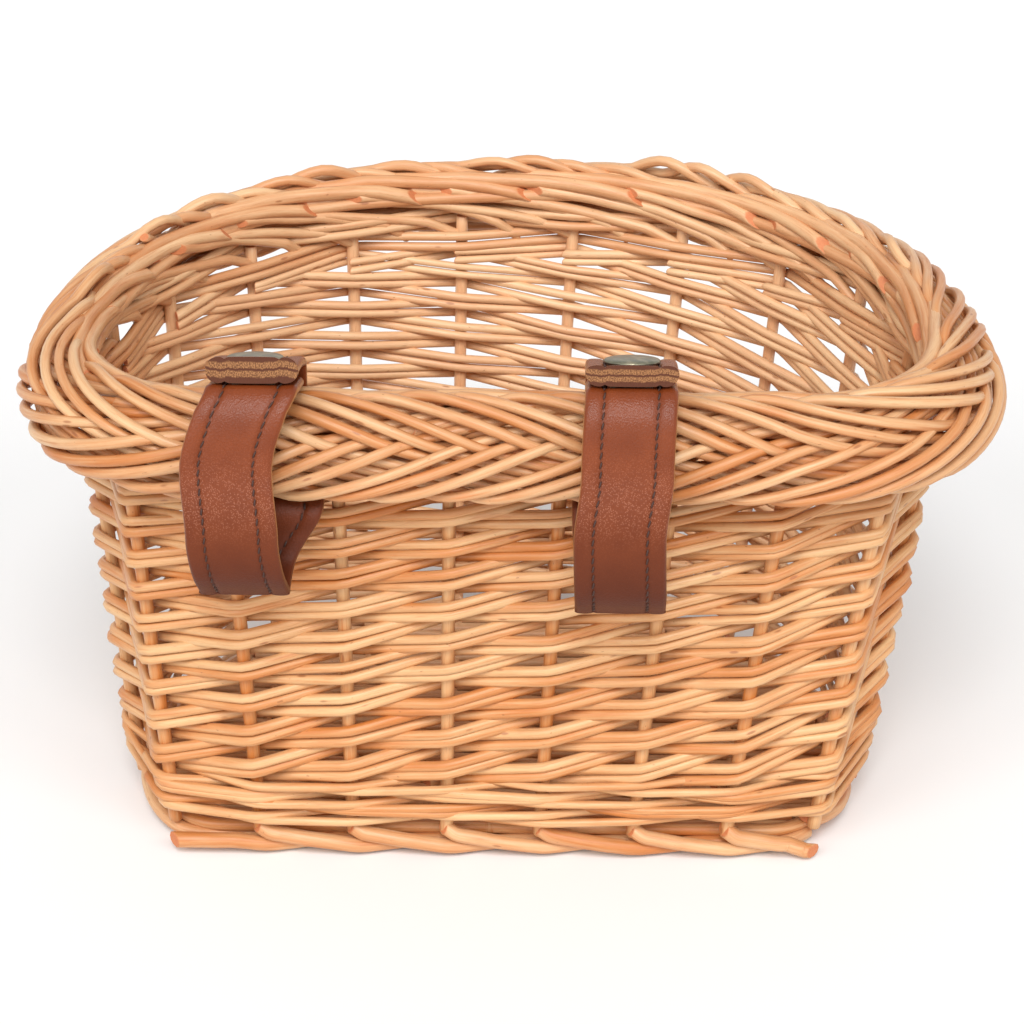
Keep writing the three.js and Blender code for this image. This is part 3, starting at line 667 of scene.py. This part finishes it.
def border():
    """The plait over the wall top, with the rods that lie in it.

    Hidden rods fill the plait's heart, thick rods lie along its top edge, and the stakes' thin ends
    slant up inside it.
    """
    made = Bundle(10)
    plait_strands(made)
    u = np.linspace(0, 1, 200, endpoint=False)
    for arc in np.linspace(-12.0, 18.0, 6):
        drift = 1.3 * np.sin(2 * np.pi * (u * chance.integers(5, 9) + chance.uniform()))
        path, direction = over_rim(u, arc + drift, 0 * u + PLAIT_RADIUS - 2.4)
        # painted shade: tone=1.0 gives these hidden rods the deep colour, darkening the gaps in the plait
        made.rod(path, 1.9, direction, closed=True, tone=1.0)
    t = np.linspace(0, 1, 40)
    for i in range(STAKES):
        u = stake_place(i + 0.2 + chance.uniform(0, 0.3) + chance.uniform(2.2, 2.9) * t)
        arc = np.interp(t, [0, 0.25, 0.7, 1], [19.0, 16.5, 14.5, 11.0]) + waver(t, 0.4, 4.0)
        radius = np.interp(t, [0, 0.15, 0.6, 0.85, 1], [10.5, 12.6, 14.2, 13.4, 11.0])
        path, direction = over_rim(u, arc, radius + waver(t, 0.3, 4.0))
        made.rod(path, chance.uniform(1.75, 2.15), direction, slant=(1.8, -1.8))
        for shift, reach, poke in ((0.0, 2.4, -2.2), (0.5, 1.7, -4.6)):
            z = np.interp(t, [0, 0.12, 0.5, 1], [131.0, 136.5, 143.0, 147.5]) + waver(t, 0.5, 4.0)
            n = np.interp(t, [0, 0.12, 0.5, 1], [0.0, -2.4, -3.6, poke]) + waver(t, 0.3, 4.0)
            u = stake_place(i + shift + (reach + chance.uniform(-0.2, 0.3)) * t)
            made.rod(wall(u, z, n), chance.uniform(1.45, 1.8), outward(u), slant=(0.5, 1.7))
    made.piece("border_rods", THICK, ["border_plait"])


def foot():
    """Each stake's thick end, bent under the wale, over the next stake and then under its rod.

    Round the bow they lie further in than along the flat side, where the first and the last rod run
    straight out to the corners.
    """
    made = Bundle(10)
    last = BACK_STAKES - 2
    first_bend, last_bend = 0.5, 0.6  # where the first one's straight end stops and the last one's starts
    soft = np.hanning(7)[1:-1] / np.hanning(7).sum()
    for i in range(STAKES):
        t = np.linspace(-0.04, 1.3 if i == last else 2.1, 64)
        z = np.interp(t, [-0.04, 0.03, 0.1, 1.1, 1.5, 2.1], [9.6, 8.4, 7.2, 2.7, 2.5, 2.6])
        n = np.interp(t, [-0.04, 0.1, 0.5, 1.0, 1.6, 2.1], [0.4, 2.1, 2.6, 2.2, -1.6, -2.8])
        n = n - (FOOT_TUCK if i > last else 0.0)
        if i == 0:
            z = np.minimum(z, 4.4)
        z = np.convolve(np.pad(z, 2, mode="edge"), soft, "valid")
        n = np.convolve(np.pad(n, 2, mode="edge"), soft, "valid")
        u = stake_place(i + t)
        path = wall(u, z, n + waver(t, 0.25, 2.0))
        if i == 0:
            begins = t < first_bend
            turn = path[begins][-1]
            path[begins, 0] = np.interp(t[begins], [t[0], first_bend], [FOOT_ENDS[0], turn[0]])
            path[begins, 1] = turn[1]
        if i == last:
            ends = t > last_bend
            turn = path[ends][0]
            path[ends, 0] = np.interp(t[ends], [last_bend, t[-1]], [turn[0], FOOT_ENDS[1]])
            path[ends, 1] = turn[1]
        thick = chance.uniform(2.05, 2.35) * np.interp(t, [0, 2], [1.05, 0.9])
        made.rod(path, np.minimum(thick, path[:, 2] - 0.1), outward(u), slant=(0.7, -0.9))
    made.piece("foot_rods", THICK, ["foot_border"])


def base():
    """Woven floor: thin rods from side to side, over one stick and under the next.

    Two rods run round its edge, and two thick sticks lie under it.
    """
    made = Bundle(6)
    u = np.linspace(0, 1, 1200)
    edge = wall(u, 0 * u, 0 * u - 5.3)
    rows = np.arange(ORIGIN_Y - BASE_BACK + 6.6, edge[:, 1].max() - 1.6, 3.0)
    for row, y in enumerate(rows):
        inside = edge[np.abs(edge[:, 1] - y) < 1.5, 0]
        low, high = inside[inside < 0].max(), inside[inside > 0].min()
        if row == 0:
            low, high = inside.min(), inside.max()
        x = np.linspace(low, high, max(8, int((high - low) / 3.2)))
        z = 5.5 + 0.6 * np.cos(np.pi * (x - STICK_PITCH / 2) / STICK_PITCH + row * np.pi)
        path = np.stack([x, y + waver(x, 0.12, 0.05), z], -1)
        made.rod(path, chance.uniform(1.4, 1.52), np.tile(UP, (len(x), 1)))
    for x in np.arange(-74.5, 70.0, STICK_PITCH):
        ends = edge[np.abs(edge[:, 0] - x) < 1.5][:, 1]
        y = np.linspace(ends.min() + 1.0, ends.max() - 1.0, 40)
        path = np.stack([0 * y + x, y, 0 * y + 5.45], -1)
        made.rod(path, 1.1, np.tile(UP, (40, 1)))
    u = np.linspace(0, 1, 240, endpoint=False)
    for n, z, thick in ((-4.2, 5.6, 2.0), (-5.0, 2.2, 1.8)):
        made.rod(wall(u, 0 * u + z, 0 * u + n), thick, outward(u), closed=True, tone=0.6)
    made.piece("base_weave", SIDING, ["base_mat"])
    for name in ("left", "right"):
        low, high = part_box("base_stick_" + name)
        y = np.linspace(low.y, high.y, 30) / MM
        made = Bundle(10)
        path = np.stack([0 * y + (low.x + high.x) / 2 / MM, y, 0 * y + 1.9 + waver(y, 0.1, 0.1)], -1)
        made.rod(path, 1.55, np.tile(UP, (30, 1)), slant=(0.5, -0.5))
        made.piece("base_stick_rod_" + name, THICK, ["base_stick_" + name])


def at_lengths(line, length, at):
    """Side-view places at lengths along a line."""
    return np.stack([np.interp(at, length, line[:, c]) for c in (0, 1)], -1)


def smooth_line(points, count):
    """A curve through side-view points, centripetal, resampled to even steps."""
    p = np.array(points, float)
    p = np.concatenate([2 * p[:1] - p[1:2], p, 2 * p[-1:] - p[-2:-1]])
    t = np.linspace(0, 1, 40, endpoint=False)[:, None]
    runs = []
    for a, b, c, d in zip(p[:-3], p[1:-2], p[2:-1], p[3:]):
        ab, bc, cd = (np.sqrt(np.linalg.norm(q - r)) for q, r in ((b, a), (c, b), (d, c)))
        into = ((b - a) / ab - (c - a) / (ab + bc) + (c - b) / bc) * bc
        away = ((c - b) / bc - (d - b) / (bc + cd) + (d - c) / cd) * bc
        square = 3 * c - 3 * b - 2 * into - away
        cube = 2 * b - 2 * c + into + away
        runs.append(b + into * t + square * t**2 + cube * t**3)
    line = np.concatenate(runs + [p[-2:-1]])
    length = lengths(line)
    even = np.linspace(0, length[-1], count)
    return at_lengths(line, length, even), even


def tilted(along, up):
    """A place on the strap ends: along them from the press stud, and up from the front run."""
    return [
        SNAP_N + along * np.cos(TILT) - up * np.sin(TILT),
        SNAP_Z + along * np.sin(TILT) + up * np.cos(TILT),
    ]


def strap_lines(side):
    """Side views of a strap's three runs, as (out of the wall, height)."""
    drop = STRAP_DROP[side]
    fold = SLOT_Z - drop
    hinge = [HINGE_N, SNAP_Z - HINGE_DROP]
    back = [
        [hinge[0], hinge[1] + KNUCKLE],
        [hinge[0], hinge[1] - KNUCKLE],
        [-8.8, WALL_TOP],
        [-8.4, 131.0],
        [-WALL_REACH + 1, SLOT_Z + 0.3],
        [WALL_REACH - 1, SLOT_Z - 0.2],
        [WALL_REACH + 3.8, SLOT_Z - 4.5],
        [WALL_REACH + 5, SLOT_Z - drop / 2],
        [WALL_REACH + 8.4, fold + 3.4],
        [FOLD_N, fold],
        [FOLD_N + 0.97 * KNUCKLE, fold - 0.25 * KNUCKLE],
    ]
    front = [
        [FOLD_N, fold],
        [30.3, fold + 8.5],
        [31.5, SLOT_Z + 1],
        [BORDER_REACH + 7.5, PLAIT_CENTRE + 5],
        [BORDER_REACH + 2, SNAP_Z - 1.5],
        tilted(9, 0),
        tilted(7, 0),
        tilted(0, 0),
        tilted(-6.5, 0),
    ]
    tab = [
        hinge,
        [hinge[0] + 0.3, hinge[1] + 3.2],
        tilted(-9.5, TAB_LIFT - 0.5),
        tilted(-6.5, TAB_LIFT),
        tilted(0, TAB_LIFT),
        tilted(TAB_END, TAB_LIFT),
    ]
    return {"back": back, "front": front, "tab": tab}


def strap_section():
    """Half a strap cut across: a face with rolled edges, two sewn grooves and a low crown between them.

    Height = (half thickness + roll - groove + crown) times a quarter round at the edges.
    """
    count, edge_width = 61, 1.1
    x = STRAP_WIDTH / 2 * np.sin(np.linspace(-np.pi / 2, np.pi / 2, count))
    reach = np.abs(x)
    roll = 0.22 * np.sin(np.pi * np.clip((reach - 7.2) / 4.6, 0, 1))
    groove = 0.42 * np.exp(-(((reach - GROOVE) / 0.55) ** 2))
    crown = 0.12 * (1 - np.clip(reach / GROOVE, 0, 1) ** 2)
    edge = np.clip((reach - (STRAP_WIDTH / 2 - edge_width)) / edge_width, 0, 1)
    height = (STRAP_HALF - 0.05 + roll - groove + crown) * np.sqrt(np.maximum(1 - edge**2, 0))
    return x, height


def lean_of(run, side, n, z):
    """How far a run leans sideways, eased by height between the places where it is given.

    Inside the border's reach the front run's height counts on by how far in it lies.
    """
    fold, bulge, border, stud = STRAP_LEAN[side]
    foot = SLOT_Z - STRAP_DROP[side]
    if run == "tab":
        return stud + 0 * z
    if run == "front":
        z = z + np.maximum(0, BORDER_REACH + 2 - n)
        stops = [(foot, fold), (SLOT_Z, bulge), (PLAIT_CENTRE + 5, border), (SNAP_Z + 10, stud)]
    else:
        stops = [(foot, fold), (SLOT_Z - STRAP_HALF, 0), (SLOT_Z + STRAP_HALF, 0), (WALL_TOP, stud)]
    lean = stops[0][1] + 0 * z
    for (low, start), (high, end) in zip(stops, stops[1:]):
        share = np.clip((z - low) / (high - low), 0, 1)
        lean = lean + (end - start) * share * share * (3 - 2 * share)
    return lean


def strap_place(side, line, across, lift, x_move):
    """From the side view to the basket: the side view's normal lifts, and the width runs along X."""
    ahead = np.gradient(line, axis=0)
    ahead = ahead / np.linalg.norm(ahead, axis=1, keepdims=True)
    n = line[:, :1] + lift * ahead[:, 1:]
    z = line[:, 1:] - lift * ahead[:, :1]
    x = STRAP_X[side] + across + x_move[:, None]
    return np.stack([np.broadcast_to(x, n.shape), ORIGIN_Y - TOP_BACK - n, z], -1)


def strap_run(side, run, body, count):
    """One run of a strap: the section carried along its side view, with its sewing on both faces.

    The tab thickens towards its end, where it is folded under and cut. The back run's ends are
    rounded about the hinges inside the other two runs.
    """
    line, length = smooth_line(strap_lines(side)[run], count)
    end = length[-1]
    close = np.array([0.0, 0.12, 0.3, 0.6, 0.9])
    inner = np.linspace(KNUCKLE, end - KNUCKLE, count - 2 * len(close))
    along = np.concatenate([close, inner, end - close[::-1]])
    line = at_lengths(line, length, along)
    x, height = strap_section()
    rows, ring = len(line), 2 * len(x) - 2
    across = np.broadcast_to(np.concatenate([x, x[-2:0:-1]]), (rows, ring))
    lift = np.broadcast_to(np.concatenate([height, -height[-2:0:-1]]), (rows, ring))
    if run == "tab":
        hem = np.clip((along - (end - TAB_HEM - 0.4)) / 1.2, 0, 1)[:, None]
        lip = np.clip((along - (end - 2.4)) / 1.8, 0, 1)[:, None]
        middle = 1 - (across / 12.1) ** 8
        under = np.where(lift > 0, TAB_HEM_DEPTH * hem * middle, 0)
        over = np.where(lift < 0, TAB_LIP[side] * lip * middle, 0)
        lift = lift + under - over
    if run == "back":
        inside = np.clip(np.minimum(along, end - along) / KNUCKLE, 0.01, 1)[:, None]
        lift = 0.98 * lift * np.sqrt(inside * (2 - inside))
    points = strap_place(side, line, across, lift, lean_of(run, side, line[:, 0], line[:, 1]))
    i, j = np.meshgrid(np.arange(rows - 1), np.arange(ring), indexing="ij")
    next_j = (j + 1) % ring
    quads = np.stack([i * ring + j, (i + 1) * ring + j, (i + 1) * ring + next_j, i * ring + next_j], -1)
    cut = np.zeros((rows, ring))
    cut[-1] = run != "back"
    depth = lift.copy()
    depth[-1] = 2 * (lift[-1] - lift[-1].min()) / np.ptp(lift[-1]) - 1
    field = np.stack([across, np.broadcast_to(along[:, None], (rows, ring)), depth], -1)
    caps = [np.arange(ring), (rows - 1) * ring + np.arange(ring)[::-1]]
    make_piece(
        f"{side}_strap_{run}_leather",
        points.reshape(-1, 3),
        quads.reshape(-1, 4),
        caps,
        {"run": field.reshape(-1, 3), "cut": cut.ravel()},
        LEATHER,
        body,
        [f"{side}_strap_{run}"],
    )
    sewing(side, run, body, line, along)


def sewing(side, run, body, line, length):
    """Stitches along both grooves of both faces: small capsules lying in the groove."""
    pitch, half, rings, sides = 2.5, 0.95, 6, 6
    cell = rings * sides
    starts, spare = {"back": (4.2, 4.0), "front": (2.6, 1.6), "tab": (2.6, TAB_HEM + 1.5)}[run]
    middle = np.arange(starts, length[-1] - spare, pitch)
    fine = np.linspace(-1, 1, rings)
    turn = 2 * np.pi * np.arange(sides) / sides
    thick = 0.3 * np.sqrt(1 - np.minimum(np.abs(fine), 0.985) ** 4)
    lie = middle[:, None] + fine * half
    place = at_lengths(line, length, lie)
    ahead = np.stack([np.interp(lie, length, np.gradient(line[:, c], length)) for c in (0, 1)], -1)
    ahead = ahead / np.linalg.norm(ahead, axis=-1, keepdims=True)
    move = lean_of(run, side, place[..., 0], place[..., 1])[:, :, None]
    k, i, j = np.meshgrid(np.arange(len(middle)), np.arange(rings - 1), np.arange(sides), indexing="ij")
    near, after = k * cell + i * sides + j, k * cell + i * sides + (j + 1) % sides
    faces = np.stack([near, near + sides, after + sides, after], -1).reshape(-1, 4)
    first_ring = cell * np.arange(len(middle))[:, None] + np.arange(sides)
    points, quads, caps = [], [], []
    for row in (-GROOVE, GROOVE):
        for face in (1.0, -1.0):
            lift = face * (0.93 + 0.12 * (1 - fine**2))[:, None] + thick[:, None] * np.cos(turn)
            across = row + 0.22 * fine[:, None] + thick[:, None] * np.sin(turn)
            out = place[:, :, None, 0] + lift * ahead[:, :, None, 1]
            up = place[:, :, None, 1] - lift * ahead[:, :, None, 0]
            x = STRAP_X[side] + across + move
            count = sum(len(block) for block in points)
            points.append(np.stack([x, ORIGIN_Y - TOP_BACK - out, up], -1).reshape(-1, 3))
            quads.append(faces + count)
            caps += [*(first_ring + count), *(first_ring[:, ::-1] + count + cell - sides)]
    name = f"{side}_strap_{run}_stitches"
    points, quads = np.concatenate(points), np.concatenate(quads)
    make_piece(name, points, quads, caps, {}, THREAD, body, [], True)


def snap_cap(side):
    """Domed cap: a half outline turned round the stud's axis, with a rolled rim."""
    sides = 48
    turn = np.linspace(0, np.pi / 2, 16)
    radius = np.concatenate([[1.6, 1.6, 6.4, 7.2, 7.5, 7.42], 7.3 * np.cos(turn[1:-1]) ** 0.8, [0.06]])
    height = np.concatenate([[-3.4, 0.0, 0.0, 0.1, 0.4, 0.7], 0.8 + 0.9 * np.sin(turn[1:-1]), [1.72]])
    around = 2 * np.pi * np.arange(sides) / sides
    across = radius[:, None] * np.cos(around)
    along = radius[:, None] * np.sin(around)
    up = np.broadcast_to(height[:, None], across.shape) + TAB_LIFT + STRAP_HALF + 0.15
    n, z = tilted(along, up)
    x = STRAP_X[side] + STRAP_LEAN[side][3] + across
    points = np.stack([x, ORIGIN_Y - TOP_BACK - n, z], -1).reshape(-1, 3)
    rows = len(radius)
    i, j = np.meshgrid(np.arange(rows - 1), np.arange(sides), indexing="ij")
    near, after = i * sides + j, i * sides + (j + 1) % sides
    quads = np.stack([near, near + sides, after + sides, after], -1).reshape(-1, 4)
    caps = [np.arange(sides), (rows - 1) * sides + np.arange(sides)[::-1]]
    name = f"{side}_snap_cap"
    make_piece(name + "_dome", points, quads, caps, {}, SNAP, f"{side}_tab", [name], True)


def strap(side):
    """A strap's three runs and its press stud, whose socket and stud are the solids themselves."""
    strap_run(side, "back", "basket", 90)
    strap_run(side, "front", f"{side}_front", 110)
    strap_run(side, "tab", f"{side}_tab", 60)
    snap_cap(side)
    for name in (f"{side}_snap_socket", f"{side}_snap_stud"):
        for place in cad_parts[name].material_slots:
            place.material = SNAP


siding()
stakes()
bottom_wale()
top_wale("top_wale_lower", 0)
top_wale("top_wale_upper", 1)
border()
foot()
base()
strap("left")
strap("right")


def ground():
    """A pale floor just under the basket, without gloss."""
    half, drop = 3.0, 0.0004
    mesh = bpy.data.meshes.new("floor")
    corners = [(-half, -half, 0), (half, -half, 0), (half, half, 0), (-half, half, 0)]
    mesh.from_pydata(corners, [], [(0, 1, 2, 3)])
    floor = bpy.data.objects.new("floor", mesh)
    bpy.context.scene.collection.objects.link(floor)
    floor.location.z = -drop
    paint = Paint("pale floor")
    pale = (0.9, 0.9, 0.9, 1)
    mesh.materials.append(paint.surface(Base_Color=pale, Roughness=0.9, Specular_IOR_Level=0.0))


def sky():
    """A white background where it is seen or mirrored, and a dimmer light from all round."""
    dim, white = 0.45, 1.0
    world = bpy.context.scene.world or bpy.data.worlds.new("studio")
    bpy.context.scene.world = world
    world.use_nodes = True
    tree = world.node_tree
    background = tree.nodes["Background"]
    ray = tree.nodes.new("ShaderNodeLightPath")
    strength = tree.nodes.new("ShaderNodeMix")
    strength.inputs[2].default_value = dim
    strength.inputs[3].default_value = white
    shown = ray.outputs["Is Camera Ray"]
    for kind in ("Is Glossy Ray", "Is Transmission Ray"):
        either = tree.nodes.new("ShaderNodeMath")
        either.operation = "MAXIMUM"
        tree.links.new(shown, either.inputs[0])
        tree.links.new(ray.outputs[kind], either.inputs[1])
        shown = either.outputs[0]
    tree.links.new(shown, strength.inputs[0])
    tree.links.new(strength.outputs[0], background.inputs["Strength"])
    background.inputs["Color"].default_value = (1, 1, 1, 1)


def lamps():
    """Even soft light from above, from the front and from both sides."""
    for name, turn, power, spread in (
        ("overhead", (0.72, 0.0, 0.0), 1.75, 0.4),
        ("front", (1.35, 0.0, 0.0), 0.2, 0.3),
        ("left", (0.7, -0.8, 0.0), 1.0, 0.6),
        ("right", (0.7, 0.8, 0.0), 0.8, 0.6),
    ):
        lamp = bpy.data.lights.new(name, "SUN")
        lamp.energy = power
        lamp.angle = spread
        light = bpy.data.objects.new(name, lamp)
        light.rotation_euler = turn
        bpy.context.scene.collection.objects.link(light)


def camera():
    """The photograph's view: a long lens, 28 degrees above the flat side."""
    rise, turn, distance = np.radians(27.72), np.radians(1.2), 917.0
    aim = np.array([0, ORIGIN_Y, 83.0])
    focal_pixels, picture_pixels, sensor = 3155.0, 1024.0, 36.0
    back = np.array([np.sin(turn) * np.cos(rise), -np.cos(turn) * np.cos(rise), np.sin(rise)])
    lens = bpy.data.cameras.new("view")
    lens.lens = focal_pixels / picture_pixels * sensor
    lens.sensor_width = sensor
    lens.clip_end = 20
    eye = bpy.data.objects.new("view", lens)
    eye.location = Vector((aim + back * distance) * MM)
    eye.rotation_euler = Vector(-back).to_track_quat("-Z", "Y").to_euler()
    bpy.context.scene.collection.objects.link(eye)
    bpy.context.scene.camera = eye


ground()
sky()
lamps()
camera()
bpy.context.scene.view_settings.view_transform = "Standard"
